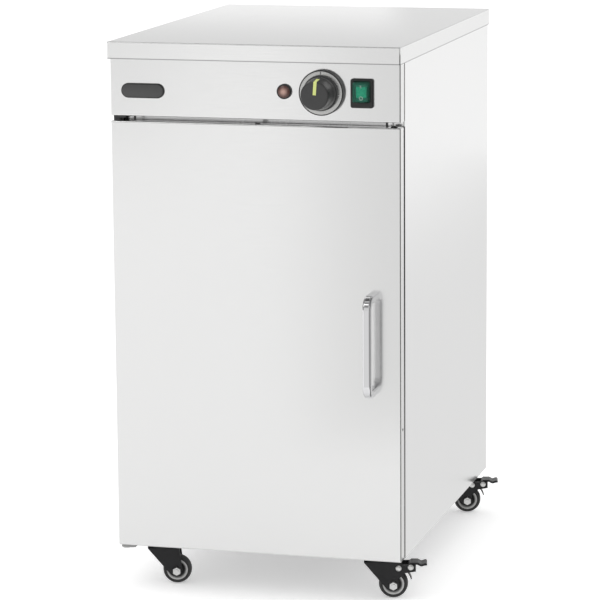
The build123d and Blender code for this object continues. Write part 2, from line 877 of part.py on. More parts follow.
with BuildPart() as element_brackets:
    notch_half = element_radius + notch_clearance
    bracket_top = element_height + bracket_cover
    for distance in (bracket_front, bracket_rear):
        with BuildSketch(upright(cabinet_front + distance)):
            area(-bracket_reach, bracket_reach, cavity_floor, bracket_top)
            for tube in (-tail_x, -inner_x, inner_x, tail_x):
                area(tube - notch_half, tube + notch_half, element_height, bracket_top, mode=Mode.SUBTRACT)
                with Locations((tube, element_height)):
                    Circle(notch_half, mode=Mode.SUBTRACT)
        extrude(amount=bracket_sheet)
keep(element_brackets, "element_brackets")

guard_half = cavity_half - guard_side_gap
guard_top = cavity_floor + guard_rise
with BuildPart() as element_guard:
    guard_start = cavity_front + guard_end_gap
    guard_end = cavity_rear - guard_end_gap
    with BuildSketch(upright(guard_end)):
        with BuildLine():
            FilletPolyline(
                (-guard_half, cavity_floor),
                (-guard_half, guard_top),
                (guard_half, guard_top),
                (guard_half, cavity_floor),
                radius=fold_radius,
            )
            offset(amount=guard_sheet, side=Side.RIGHT)
        make_face()
    extrude(amount=guard_end - guard_start)
    row_pitch = (guard_end - guard_start) / guard_slot_rows
    column_pitch = 2 * guard_half / guard_slot_columns
    with BuildSketch(level(guard_top - guard_sheet)):
        with Locations((0, (guard_start + guard_end) / 2)):
            with GridLocations(column_pitch, row_pitch, guard_slot_columns, guard_slot_rows):
                Rectangle(guard_slot_width, row_pitch - guard_bridge)
    extrude(amount=guard_sheet, mode=Mode.SUBTRACT)
keep(element_guard, "element_guard")

# Shelf: a rod frame filled with wires, on angle runners
shelf_height = cavity_floor + shelf_rise
shelf_half = cavity_half - shelf_side_gap - frame_rod
shelf_start = cavity_front + shelf_front_gap + frame_rod
shelf_end = cavity_rear - shelf_rear_gap - frame_rod
with BuildPart() as wire_shelf:
    with BuildLine(level(shelf_height)) as rod_path:
        FilletPolyline(
            (-shelf_half, shelf_start),
            (shelf_half, shelf_start),
            (shelf_half, shelf_end),
            (-shelf_half, shelf_end),
            radius=frame_corner,
            close=True,
        )
    with BuildSketch(Plane(origin=rod_path.line @ 0, z_dir=rod_path.line % 0)):
        Circle(frame_rod)
    sweep()
    with BuildSketch(upright(shelf_end)):
        with Locations((0, shelf_height)):
            with GridLocations(2 * shelf_half / (grid_count + 1), 0, grid_count, 1):
                Circle(grid_rod)
    extrude(amount=shelf_end - shelf_start)
keep(wire_shelf, "wire_shelf")

with BuildPart() as shelf_runners:
    for step in range(runner_levels):
        support = shelf_height - frame_rod - runner_gap - step * runner_pitch
        with BuildSketch(upright(cavity_front + runner_front + runner_length)):
            for side in (-1, 1):
                with BuildLine():
                    Polyline(
                        (side * cavity_half, support),
                        (side * (cavity_half - runner_shelf), support),
                        (side * (cavity_half - runner_shelf), support - runner_sheet),
                        (side * (cavity_half - runner_sheet), support - runner_sheet),
                        (side * (cavity_half - runner_sheet), support - runner_web),
                        (side * cavity_half, support - runner_web),
                        close=True,
                    )
                make_face()
        extrude(amount=runner_length)
keep(shelf_runners, "shelf_runners")

# Door: folded outer skin, inner panel, slab, gasket and handle
with BuildPart() as door_outer_skin:
    with BuildSketch(upright(door_depth)):
        area(-half_width, half_width, door_bottom, door_top)
    extrude(amount=door_depth)
    fillet(door_outer_skin.edges(), fold_radius)
    with BuildSketch(upright(door_depth - sheet)):
        area(sheet - half_width, half_width - sheet, door_bottom + sheet, door_top - sheet)
    extrude(amount=door_depth - 2 * sheet, mode=Mode.SUBTRACT)
    with BuildSketch(upright(door_depth)):
        area(door_lip - half_width, half_width - door_lip, door_bottom + door_lip, door_top - door_lip)
    extrude(amount=sheet, mode=Mode.SUBTRACT)
    for fold in (door_bottom, door_top - sheet):
        with BuildSketch(level(fold)):
            with Locations((hinge_x, hinge_depth)):
                Circle(bush_radius + seat_fit)
        extrude(amount=sheet, mode=Mode.SUBTRACT)
    with BuildSketch(level(door_top - sheet)):
        for slit in (-relief_left, relief_right):
            area(slit - relief_width / 2, slit + relief_width / 2, fold_radius, door_depth - fold_radius)
    extrude(amount=sheet, mode=Mode.SUBTRACT)
keep(door_outer_skin, "door_outer_skin")

with BuildPart() as door_inner_panel:
    with BuildSketch(upright(door_depth + panel_sheet)):
        panel_half = half_width - panel_margin
        area(-panel_half, panel_half, door_bottom + panel_margin, door_top - panel_margin)
    extrude(amount=panel_sheet)
keep(door_inner_panel, "door_inner_panel")

with BuildPart() as door_insulation:
    slab_edge = half_width - hinge_inset - bush_flange - door_slab_gap
    slab_rise = sheet + bush_length + door_slab_gap
    with BuildSketch(upright(door_depth - sheet - slab_clearance)):
        area(-slab_edge, slab_edge, door_bottom + slab_rise, door_top - slab_rise)
    extrude(amount=door_depth - 2 * sheet - 2 * slab_clearance)
keep(door_insulation, "door_insulation")

with BuildPart() as door_gasket:
    gasket_front = door_depth + panel_sheet
    gasket_rear = cabinet_front - gasket_clearance
    inner_right = cavity_half + gasket_inset
    inner_low = cavity_floor - gasket_inset
    inner_high = cavity_ceiling + gasket_inset
    outer_right = inner_right + gasket_width
    with BuildSketch(upright(gasket_rear)):
        area(-outer_right, outer_right, inner_low - gasket_width, inner_high + gasket_width)
        area(-inner_right, inner_right, inner_low, inner_high, mode=Mode.SUBTRACT)
    extrude(amount=gasket_rear - gasket_front)
keep(door_gasket, "door_gasket")

handle_middle = door_bottom + handle_above_door
handle_top = handle_middle + handle_spacing / 2
handle_low = handle_middle - handle_spacing / 2
handle_bar = handle_thickness / 2 - handle_reach
with BuildPart() as door_handle:
    with BuildLine(crosswise(handle_x)):
        FilletPolyline(
            (0, handle_top),
            (handle_bar, handle_top),
            (handle_bar, handle_low),
            (0, handle_low),
            radius=handle_bend,
        )
    with BuildSketch(upright(0)):
        with Locations((handle_x, handle_top)):
            RectangleRounded(handle_width, handle_thickness, handle_edge)
    sweep()
keep(door_handle, "door_handle")

# Catch: magnet under the ceiling, strike plate on the inner door panel
catch_height_middle = cavity_ceiling - catch_height / 2
strike_front = door_depth + panel_sheet
with BuildPart() as strike_plate:
    with BuildSketch(upright(strike_front + strike_thickness)):
        with Locations((catch_x, catch_height_middle)):
            Rectangle(strike_width, strike_height)
    extrude(amount=strike_thickness)
keep(strike_plate, "strike_plate")

with BuildPart() as magnet_catch:
    with BuildSketch(upright(cabinet_front + catch_depth)):
        with Locations((catch_x, catch_height_middle)):
            Rectangle(catch_width, catch_height)
    extrude(amount=cabinet_front + catch_depth - strike_front - strike_thickness - catch_gap)
keep(magnet_catch, "magnet_catch")

# Hinges: a plate under the fascia, a plate under the cabinet, a pin in each and bushes in the door
lower_top = ground_clearance - hinge_clearance
lower_base = lower_top - hinge_plate
plate_left = hinge_x - pin_radius - hinge_plate
with BuildPart() as hinge_brackets:
    with BuildSketch(level(fascia_bottom - hinge_plate)):
        area(plate_left, plate_left + hinge_plate_width, hinge_plate_front, cabinet_front - fit_gap)
        fillet(vertices().group_by(Axis.Y)[0], hinge_plate_round)
        with Locations((hinge_x, hinge_depth)):
            Circle(pin_radius + seat_fit, mode=Mode.SUBTRACT)
    extrude(amount=hinge_plate)
    with BuildSketch(level(lower_base)):
        area(plate_left, plate_left + hinge_plate_width, hinge_plate_front, cabinet_front)
        fillet(vertices().group_by(Axis.Y)[0], hinge_plate_round)
        area(plate_left, plate_left + hinge_tail_width, cabinet_front, cabinet_front + hinge_tail)
        with Locations((hinge_x, hinge_depth)):
            Circle(pin_radius + seat_fit, mode=Mode.SUBTRACT)
    extrude(amount=hinge_plate)
    with BuildSketch(level(lower_top)):
        area(plate_left, plate_left + hinge_tail_width, cabinet_front, cabinet_front + hinge_tail)
    extrude(amount=hinge_clearance)
keep(hinge_brackets, "hinge_brackets")

with BuildPart() as hinge_pins:
    with BuildSketch(level(door_top - pin_engagement)):
        with Locations((hinge_x, hinge_depth)):
            Circle(pin_radius)
    extrude(amount=fascia_bottom - door_top + pin_engagement)
    with BuildSketch(level(lower_base - pin_head_height)):
        with Locations((hinge_x, hinge_depth)):
            Circle(pin_radius)
    extrude(amount=door_bottom + pin_engagement - lower_base + pin_head_height)
    with BuildSketch(level(lower_base - pin_head_height)):
        with Locations((hinge_x, hinge_depth)):
            Circle(pin_head_radius)
    extrude(amount=pin_head_height)
keep(hinge_pins, "hinge_pins")

with BuildPart() as hinge_bushes:
    for outside, inward in ((door_bottom, 1), (door_top, -1)):
        with BuildSketch(level(outside)):
            with Locations((hinge_x, hinge_depth)):
                Circle(bush_radius)
        extrude(amount=inward * bush_length)
        with BuildSketch(level(outside + inward * sheet)):
            with Locations((hinge_x, hinge_depth)):
                Circle(bush_flange)
        extrude(amount=inward * bush_flange_thickness)
    with BuildSketch(level(door_top)):
        with Locations((hinge_x, hinge_depth)):
            Circle(bush_collar)
    extrude(amount=door_gap - hinge_plate - collar_gap)
    with BuildSketch(level(door_bottom)):
        with Locations((hinge_x, hinge_depth)):
            Circle(pin_radius + running_fit)
    extrude(amount=door_height + door_gap, mode=Mode.SUBTRACT)
keep(hinge_bushes, "hinge_bushes")

# Caster top plates: plate, bearing housing and kingpin
corners = {
    "front_left": (-pivot_half, pivot_front, False),
    "front_right": (pivot_half, pivot_front, True),
    "rear_left": (-pivot_half, pivot_rear, False),
    "rear_right": (pivot_half, pivot_rear, True),
}
pivots = [(right, behind) for right, behind, braked in corners.values()]
plate_base = pan_level - top_plate_thickness
housing_base = fork_top + raceway_rise + raceway_gap
crown_base = fork_top - fork_plate
with BuildPart() as caster_plates:
    with BuildSketch(level(plate_base)):
        with Locations(*pivots):
            RectangleRounded(top_plate_size, top_plate_size, top_plate_corner)
    extrude(amount=top_plate_thickness)
    for right, behind in pivots:
        with BuildSketch(across_fork((middle_x + right, front_y + behind, 0))):
            with BuildLine():
                Polyline(
                    (0, plate_base),
                    (housing_top_radius, plate_base),
                    (housing_radius, housing_base + raceway_rise),
                    (housing_radius, housing_base),
                    (kingpin_radius, housing_base),
                    (kingpin_radius, crown_base - kingpin_gap),
                    (kingpin_head, crown_base - kingpin_gap),
                    (kingpin_head, crown_base - kingpin_head_height),
                    (0, crown_base - kingpin_head_height),
                    close=True,
                )
            make_face()
        revolve(axis=Axis((middle_x + right, front_y + behind, 0), (0, 0, 1)))
keep(caster_plates, "caster_plates")

# Each caster: stamped fork, axle bolt, hub, tyre and, where it has a brake, rivets and pedal
rivets = ((stop_rivet_x, stop_rivet_z), (pedal_pivot_x, pedal_pivot_z))
hex_radius = axle_flats / 2 / cos(pi / hex_sides)
hex_turn = degrees(pi / hex_sides)
crest_right = pedal_pivot_x + pedal_crest_length
crest_top = pedal_pivot_z + pedal_crest
root_x = pedal_pivot_x - pedal_root
root_z = pedal_pivot_z - pedal_root_drop
pedal_path = (
    (root_x, root_z),
    (pedal_pivot_x, crest_top),
    (crest_right, crest_top),
    (crest_right + pedal_dip_reach, crest_top - pedal_dip),
    (pedal_tip, crest_top),
    (pedal_tip, crest_top - pedal_lip_fall),
)
for corner, (right, behind, braked) in corners.items():
    pivot_x = middle_x + right
    pivot_y = front_y + behind
    middle_plane = Plane(
        origin=(pivot_x, pivot_y, 0),
        x_dir=along_fork,
        z_dir=(sin(turn), -cos(turn), 0),
    )
    outer_plane = middle_plane.offset(-fork_outer)
    wheel_centre = middle_plane.from_local_coords((caster_trail, wheel_radius, 0))
    wheel_axis = Axis(wheel_centre, along_axle)
    wheel_section = across_fork(wheel_centre)

    with BuildPart() as fork:
        fork_start = middle_plane.from_local_coords((fork_left, 0, 0))
        with BuildSketch(across_fork(fork_start)):
            with BuildLine():
                FilletPolyline(
                    (-fork_outer, 0),
                    (-fork_outer, fork_top),
                    (fork_outer, fork_top),
                    (fork_outer, 0),
                    radius=fork_bend,
                )
                offset(amount=fork_plate, side=Side.RIGHT)
            make_face()
        extrude(amount=arm_end - fork_left)
        with BuildSketch(outer_plane):
            area(fork_left, fork_right, fork_top - fork_shoulder, fork_top)
            with Locations((caster_trail - fork_toe, wheel_radius), (caster_trail, wheel_radius)):
                Circle(fork_end)
            make_hull()
            if braked:
                area(caster_trail, fork_brace, arm_root_z, fork_top)
                with BuildLine():
                    Polyline(
                        (caster_trail, arm_high),
                        (arm_end, arm_high),
                        (arm_end, arm_low),
                        (arm_root_x, arm_root_z),
                        (arm_neck_x, arm_neck_z),
                        (caster_trail, wheel_radius),
                        close=True,
                    )
                make_face()
                with Locations(*rivets):
                    Circle(rivet_radius + seat_fit, mode=Mode.SUBTRACT)
            with Locations((caster_trail, wheel_radius)):
                Circle(axle_radius + seat_fit, mode=Mode.SUBTRACT)
        extrude(amount=2 * fork_outer, mode=Mode.INTERSECT)
        with BuildSketch(across_fork((pivot_x, pivot_y, 0))):
            with BuildLine():
                Polyline(
                    (0, crown_base),
                    (raceway_radius - raceway_rise, crown_base),
                    (raceway_radius, crown_base + raceway_rise),
                    (raceway_radius, fork_top),
                    (raceway_radius - raceway_rise, fork_top + raceway_rise),
                    (0, fork_top + raceway_rise),
                    close=True,
                )
            make_face()
        revolve(axis=Axis((pivot_x, pivot_y, 0), (0, 0, 1)))
        with BuildSketch(Plane(origin=(pivot_x, pivot_y, crown_base))):
            Circle(kingpin_radius + running_fit)
        extrude(amount=fork_plate + raceway_rise, mode=Mode.SUBTRACT)
    keep(fork, f"{corner}_fork")

    with BuildPart() as axle:
        with BuildSketch(outer_plane.offset(-axle_head)):
            with Locations((caster_trail, wheel_radius)):
                Circle(axle_radius)
        extrude(amount=axle_head + 2 * fork_outer + axle_nut + bolt_end)
        for start, length in ((-axle_head, axle_head), (2 * fork_outer, axle_nut)):
            with BuildSketch(outer_plane.offset(start)):
                with Locations((caster_trail, wheel_radius)):
                    RegularPolygon(hex_radius, hex_sides, rotation=hex_turn)
            extrude(amount=length)
        if braked:
            cap_rise, cap_radius = cap_middle(rivet_head, rivet_rise)
            for rivet in rivets:
                rivet_centre = middle_plane.from_local_coords((*rivet, 0))
                with BuildSketch(across_fork(rivet_centre)):
                    with BuildLine():
                        rivet_side = Polyline(
                            (-fork_outer, rivet_head),
                            (-fork_outer, rivet_radius),
                            (fork_outer, rivet_radius),
                            (fork_outer, rivet_head),
                        )
                        core = Line((fork_outer + rivet_rise, 0), (-fork_outer - rivet_rise, 0))
                        ThreePointArc(rivet_side @ 1, (fork_outer + cap_rise, cap_radius), core @ 0)
                        ThreePointArc(core @ 1, (-fork_outer - cap_rise, cap_radius), rivet_side @ 0)
                    make_face()
                revolve(axis=Axis(rivet_centre, along_axle))
    keep(axle, f"{corner}_axle")

    with BuildPart() as hub:
        with BuildSketch(wheel_section):
            boss_half = fork_inner - boss_clearance
            with BuildLine():
                Polyline(
                    (-boss_half, axle_radius + running_fit),
                    (boss_half, axle_radius + running_fit),
                    (boss_half, hub_boss),
                    (hub_web, hub_boss),
                    (hub_rim_half, hub_radius - hub_rim),
                    (hub_rim_half, hub_radius - seat_fit),
                    (-hub_rim_half, hub_radius - seat_fit),
                    (-hub_rim_half, hub_radius - hub_rim),
                    (-hub_web, hub_boss),
                    (-boss_half, hub_boss),
                    close=True,
                )
            make_face()
        revolve(axis=wheel_axis)
    keep(hub, f"{corner}_hub")

    with BuildPart() as tyre:
        with BuildSketch(wheel_section):
            wheel_half = wheel_width / 2
            shoulder = wheel_radius - tread_crown
            with BuildLine():
                tyre_side = Polyline(
                    (wheel_half, shoulder),
                    (wheel_half, hub_radius),
                    (-wheel_half, hub_radius),
                    (-wheel_half, shoulder),
                )
                ThreePointArc(tyre_side @ 1, (0, wheel_radius), tyre_side @ 0)
            make_face()
        revolve(axis=wheel_axis)
    keep(tyre, f"{corner}_tyre")

    if braked:
        with BuildPart() as pedal:
            for depth, inner in ((pedal_skin, 0), (pedal_depth, pedal_half - pedal_skin)):
                with BuildSketch(middle_plane.offset(inner)):
                    with BuildLine():
                        FilletPolyline(*pedal_path, radius=pedal_bend)
                        offset(amount=depth, side=Side.RIGHT)
                    make_face()
                extrude(amount=pedal_half - inner)
            with BuildSketch(middle_plane.offset(pedal_half - pedal_skin)):
                cheek_low = pedal_pivot_z - cheek_drop
                with BuildLine():
                    Polyline(
                        (root_x + pedal_skin, root_z),
                        (pedal_pivot_x + pedal_skin, crest_top - pedal_skin),
                        (pedal_pivot_x + cheek_reach, crest_top - pedal_skin),
                        (pedal_pivot_x + cheek_reach, pedal_pivot_z),
                        (pedal_pivot_x + cheek_reach / 2, cheek_low),
                        (pedal_pivot_x - cheek_reach / 2, cheek_low),
                        close=True,
                    )
                make_face()
            extrude(amount=pedal_skin)
            mirror(about=middle_plane)
            with BuildSketch(Plane(origin=(pivot_x, pivot_y, 0), x_dir=along_fork)):
                with Locations(((root_x + pedal_tip) / 2 - pedal_skin, 0)):
                    RectangleRounded(pedal_tip - root_x + 2 * pedal_skin, 2 * pedal_half, pedal_round)
            extrude(amount=fork_top, mode=Mode.INTERSECT)
            with BuildSketch(middle_plane):
                with BuildLine():
                    leaf_radius = wheel_radius + leaf_clearance
                    leaf_sweep = leaf_high - leaf_low
                    leaf_arc = CenterArc((caster_trail, wheel_radius), leaf_radius, leaf_low, leaf_sweep)
                    Line(leaf_arc @ 1, (root_x + pedal_skin / 2, root_z))
                    offset(amount=leaf_thickness, side=Side.RIGHT)
                make_face()
            extrude(amount=leaf_half_width, both=True)
            with BuildSketch(middle_plane):
                with Locations((pedal_pivot_x, pedal_pivot_z)):
                    Circle(rivet_radius + running_fit)
            extrude(amount=pedal_half, both=True, mode=Mode.SUBTRACT)
        keep(pedal, f"{corner}_pedal")
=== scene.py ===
import json
import math

import bmesh
import bpy
from mathutils import Matrix, Vector


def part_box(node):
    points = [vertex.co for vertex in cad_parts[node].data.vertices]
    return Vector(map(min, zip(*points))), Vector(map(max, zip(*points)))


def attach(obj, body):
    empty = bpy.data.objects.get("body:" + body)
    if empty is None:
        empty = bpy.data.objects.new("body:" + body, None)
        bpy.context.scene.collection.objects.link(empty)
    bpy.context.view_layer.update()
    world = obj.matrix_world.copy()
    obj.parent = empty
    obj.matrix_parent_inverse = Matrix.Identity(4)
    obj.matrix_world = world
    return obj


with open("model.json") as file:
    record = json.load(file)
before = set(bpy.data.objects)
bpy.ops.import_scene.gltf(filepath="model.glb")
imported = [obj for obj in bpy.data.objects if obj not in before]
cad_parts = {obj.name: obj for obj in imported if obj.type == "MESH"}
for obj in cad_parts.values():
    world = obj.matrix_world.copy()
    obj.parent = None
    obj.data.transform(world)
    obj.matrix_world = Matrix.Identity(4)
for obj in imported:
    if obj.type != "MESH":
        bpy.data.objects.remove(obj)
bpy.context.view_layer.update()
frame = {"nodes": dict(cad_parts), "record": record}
scene = bpy.context.scene

# Units, directions, the stretch of a grain, and white
MM = 0.001
LEFT = (-1, 0, 0)
RIGHT = (1, 0, 0)
FORWARD = (0, -1, 0)
BACKWARD = (0, 1, 0)
UP = (0, 0, 1)
DOWN = (0, 0, -1)
EVEN = (1.0, 1.0, 1.0)
ALONG_X = (1.0, 60.0, 60.0)
UPRIGHT = (60.0, 60.0, 1.0)
WHITE = (1.0, 1.0, 1.0, 1.0)

# Reference places, taken from the frame, in metres
joints = {joint["name"]: joint for joint in frame["record"]["behaviour"]["joints"]}
door_low, door_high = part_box("door_outer_skin")
side_low, side_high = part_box("right_side_panel")
back_low, back_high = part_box("back_panel")
lens_low, lens_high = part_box("pilot_lamp_lens")
lid_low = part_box("top_cover")[0]
fascia_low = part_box("control_fascia")[0]
plates_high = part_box("caster_plates")[1]
bezel_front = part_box("dial_bezel")[0].y
knob_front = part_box("thermostat_knob")[0].y
dial = Vector(joints["thermostat_turn"]["pos_m"])
rocker_pivot = Vector(joints["switch_rock"]["pos_m"])
hinge = Vector(joints["door_hinge"]["pos_m"])
middle_x = (door_low.x + door_high.x) / 2
front_y = door_low.y
corners = ("front_left", "front_right", "rear_left", "rear_right")


# Objects and places
def add_object(name, data):
    """New object in the scene."""
    thing = bpy.data.objects.new(name, data)
    scene.collection.objects.link(thing)
    return thing


def turn_to(direction, axis="Z"):
    """Rotation that points an axis along a direction."""
    return Vector(direction).to_track_quat(axis, "Y").to_matrix()


def stand(thing, place, rotation):
    """Puts a thing at a place with a rotation."""
    thing.matrix_world = Matrix.Translation(place) @ rotation.to_4x4()


# Nodes that the materials share
def new_material(name):
    """New material, with its node tree and its main shader."""
    material = bpy.data.materials.new(name)
    material.use_nodes = True
    return material, material.node_tree, material.node_tree.nodes["Principled BSDF"]


def coordinates(tree, kind="Object"):
    """X, Y and Z of the shaded point, in the piece's own metres unless another kind is named."""
    place = tree.nodes.new("ShaderNodeTexCoord")
    axes = tree.nodes.new("ShaderNodeSeparateXYZ")
    tree.links.new(place.outputs[kind], axes.inputs["Vector"])
    return axes.outputs


def reckon(tree, operation, first, second=None):
    """One sum, whose terms are numbers or the outputs of other nodes."""
    node = tree.nodes.new("ShaderNodeMath")
    node.operation = operation
    for socket, term in zip(node.inputs, (first, second)):
        if isinstance(term, (int, float)):
            socket.default_value = term
        elif term is not None:
            tree.links.new(term, socket)
    return node.outputs["Value"]


def height(tree):
    """Height over the floor at rest."""
    return coordinates(tree)["Z"]


def from_level(tree, level):
    """Distance above or below a level."""
    return reckon(tree, "ABSOLUTE", reckon(tree, "SUBTRACT", height(tree), level))


def from_line(tree, point, axis):
    """Distance from a line."""
    value = tree.nodes.new("ShaderNodeTexCoord").outputs["Object"]
    steps = (
        ("SUBTRACT", point, "Vector"),
        ("CROSS_PRODUCT", Vector(axis).normalized(), "Vector"),
        ("LENGTH", None, "Value"),
    )
    for operation, term, output in steps:
        node = tree.nodes.new("ShaderNodeVectorMath")
        node.operation = operation
        if term is not None:
            node.inputs[1].default_value = term
        tree.links.new(value, node.inputs[0])
        value = node.outputs[output]
    return value


def noise(tree, scale, stretch=EVEN, detail=3.0):
    """Noise in the piece's own metres, stretched along the axes given."""
    place = tree.nodes.new("ShaderNodeTexCoord")
    mapping = tree.nodes.new("ShaderNodeMapping")
    mapping.inputs["Scale"].default_value = stretch
    texture = tree.nodes.new("ShaderNodeTexNoise")
    texture.inputs["Scale"].default_value = scale
    texture.inputs["Detail"].default_value = detail
    tree.links.new(place.outputs["Object"], mapping.inputs["Vector"])
    tree.links.new(mapping.outputs["Vector"], texture.inputs["Vector"])
    return texture.outputs["Fac"]


def spread(tree, value, low, high, start=0.3, end=0.7, smooth=False):
    """Maps the range from start to end, by default that of most noise, to low and high."""
    node = tree.nodes.new("ShaderNodeMapRange")
    node.interpolation_type = "SMOOTHSTEP" if smooth else "LINEAR"
    node.inputs["From Min"].default_value = start
    node.inputs["From Max"].default_value = end
    node.inputs["To Min"].default_value = low
    node.inputs["To Max"].default_value = high
    tree.links.new(value, node.inputs["Value"])
    return node.outputs["Result"]


def shade(tree, value, first, second):
    """Mixes two colours, each a tuple or the output of a node, by a value."""
    node = tree.nodes.new("ShaderNodeMix")
    node.data_type = "RGBA"
    tree.links.new(value, node.inputs["Factor"])
    for socket, colour in ((node.inputs["A"], first), (node.inputs["B"], second)):
        if isinstance(colour, tuple):
            socket.default_value = (*colour, 1.0)
        else:
            tree.links.new(colour, socket)
    return node.outputs["Result"]


def surface(tree, shader, colour, texture, rough, bump, edge):
    """Gives a shader its colour, a roughness and bump that follow one noise, and softened edges."""
    bevel = tree.nodes.new("ShaderNodeBevel")
    bevel.samples = 4
    bevel.inputs["Radius"].default_value = edge
    relief = tree.nodes.new("ShaderNodeBump")
    relief.inputs["Strength"].default_value = bump
    relief.inputs["Distance"].default_value = 0.1 * MM
    tree.links.new(colour, shader.inputs["Base Color"])
    tree.links.new(spread(tree, texture, *rough), shader.inputs["Roughness"])
    tree.links.new(texture, relief.inputs["Height"])
    tree.links.new(bevel.outputs["Normal"], relief.inputs["Normal"])
    tree.links.new(relief.outputs["Normal"], shader.inputs["Normal"])


def overlay(material, share, colour):
    """Lays a colour over the material's own by a share."""
    tree = material.node_tree
    base = tree.nodes["Principled BSDF"].inputs["Base Color"]
    own = base.links[0].from_socket
    tree.links.new(shade(tree, share, own, colour), base)


# Materials
def grey(level, blue=None):
    """Grey, or a grey whose blue differs a little."""
    return (level, level, level if blue is None else blue)


def metal(name, dark, light, rough, grain, stretch=EVEN, bump=0.05, edge=0.3 * MM):
    """Metal with a grain in its roughness and a broad cloud in its colour."""
    material, tree, shader = new_material(name)
    shader.inputs["Metallic"].default_value = 1.0
    cloud = noise(tree, scale=3.0, detail=2.0)
    lines = noise(tree, grain, stretch, detail=4.0)
    surface(tree, shader, shade(tree, cloud, dark, light), lines, rough, bump, edge)
    return material


def steel(name, tone, stretch):
    """Satin stainless sheet: fine long grain, and a tone that hardly varies."""
    dark = grey(tone - 0.01, tone - 0.012)
    light = grey(tone + 0.01, tone + 0.005)
    rough = (0.13, 0.19)
    return metal(name, dark, light, rough, grain=30.0, stretch=stretch, bump=0.012, edge=0.5 * MM)


def steel_with_hem_shade(name, tone, stretch, hem):
    """Satin sheet with painted shade along its hemmed lower edge, dull and dark up to a level."""
    shade_full_to = 0.6 * MM
    shade_gone_from = 1.8 * MM
    material = steel(name, tone, stretch)
    tree = material.node_tree
    over_hem = reckon(tree, "SUBTRACT", height(tree), hem)
    # Painted shade: dull grey laid over the steel just above the hem
    hem_shade = spread(tree, over_hem, 1.0, 0.0, shade_full_to, shade_gone_from, smooth=True)
    overlay(material, hem_shade, grey(0.36))
    return material


def hinge_metal():
    """Dull lower hinge and black upper hinge."""
    middle = (door_low.z + door_high.z) / 2
    material = metal("hinge_metal", grey(0.3), grey(0.38, 0.37), rough=(0.3, 0.42), grain=400.0)
    tree = material.node_tree
    upper = spread(tree, height(tree), 0.0, 1.0, middle - MM, middle + MM)
    overlay(material, upper, grey(0.07))
    return material


def plastic(name, dark, light, rough, grain, bump=0.1, gloss=0.5):
    """Moulded plastic, rubber or paint with a fine skin."""
    material, tree, shader = new_material(name)
    texture = noise(tree, grain)
    cloud = noise(tree, scale=grain / 20.0, detail=2.0)
    surface(tree, shader, shade(tree, cloud, dark, light), texture, rough, bump, edge=0.4 * MM)
    shader.inputs["Specular IOR Level"].default_value = gloss
    return material


def banded(name, share, near, far, rough, grain, coat=0.0):
    """Speckled plastic that goes from one colour to another by a share, made from its node tree."""
    speckle = 1.12
    material, tree, shader = new_material(name)
    texture = noise(tree, grain)
    speck = spread(tree, texture, 0.0, 1.0)
    bands = [shade(tree, speck, colour, tuple(speckle * part for part in colour)) for colour in (near, far)]
    surface(tree, shader, shade(tree, share(tree), *bands), texture, rough, bump=0.05, edge=0.3 * MM)
    shader.inputs["Coat Weight"].default_value = coat
    return material


def hub_plastic(corner):
    """Pale rim, with painted shade that darkens the hub towards the axle, where the fork shades it."""
    shade_full_radius = 9.5 * MM
    pale_radius = 14.2 * MM
    spin = joints[corner + "_wheel_spin"]

    # Painted shade: dark out to one radius, gone at the pale rim
    def dish(tree):
        away = from_line(tree, spin["pos_m"], spin["axis"])
        return spread(tree, away, 0.0, 1.0, shade_full_radius, pale_radius, smooth=True)

    return banded(corner + "_hub", dish, grey(0.05), grey(0.7, 0.69), rough=(0.35, 0.5), grain=600.0)


def lens_glass():
    """Unlit lens, brown towards its rim; the pale middle is the bulb showing through, with a painted
    highlight over it.
    """
    pale_radius = 1.0 * MM
    brown_radius = 7.0 * MM
    centre = (lens_low + lens_high) / 2
    pale = (0.5, 0.31, 0.26)
    brown = (0.09, 0.035, 0.028)

    # Painted highlight: pale in the middle, fading to brown towards the rim
    def ring(tree):
        away = from_line(tree, centre, BACKWARD)
        return spread(tree, away, 0.0, 1.0, pale_radius, brown_radius, smooth=True)

    return banded("lamp_red", ring, pale, brown, rough=(0.25, 0.35), grain=500.0, coat=0.25)


def shaded_rocker():
    """Green rocker, bright in the middle, with painted shade that darkens both its ends."""
    unshaded_half = 6.8 * MM
    shade_full_from = 7.4 * MM
    bright = (0.02, 0.78, 0.42)
    dark = (0.012, 0.16, 0.1)

    # Painted shade on both ends of the rocker
    def end_shade(tree):
        away = from_level(tree, rocker_pivot.z)
        return spread(tree, away, 0.0, 1.0, unshaded_half, shade_full_from, smooth=True)

    return banded("rocker_green", end_shade, bright, dark, rough=(0.2, 0.3), grain=400.0)


def seal_rubber():
    """Seal that is dark above, with painted light that makes it pale towards the floor."""
    floor_lit_to = 0.1
    floor_light_gone_from = 0.5

    # Painted light: pale near the floor, fading out higher up
    def floor_light_fade(tree):
        return spread(tree, height(tree), 0.0, 1.0, floor_lit_to, floor_light_gone_from, smooth=True)

    return banded("seal_rubber", floor_light_fade, grey(0.25, 0.245), grey(0.035), rough=(0.6, 0.8), grain=500.0)


def clear_boot():
    """Clear green cover over the switch."""
    dark = (0.03, 0.18, 0.12)
    light = (0.04, 0.22, 0.15)
    material, tree, shader = new_material("boot_green")
    texture = noise(tree, scale=300.0)
    colour = shade(tree, texture, dark, light)
    surface(tree, shader, colour, texture, rough=(0.1, 0.18), bump=0.1, edge=0.4 * MM)
    shader.inputs["Alpha"].default_value = 0.3
    shader.inputs["Specular IOR Level"].default_value = 0.3
    return material


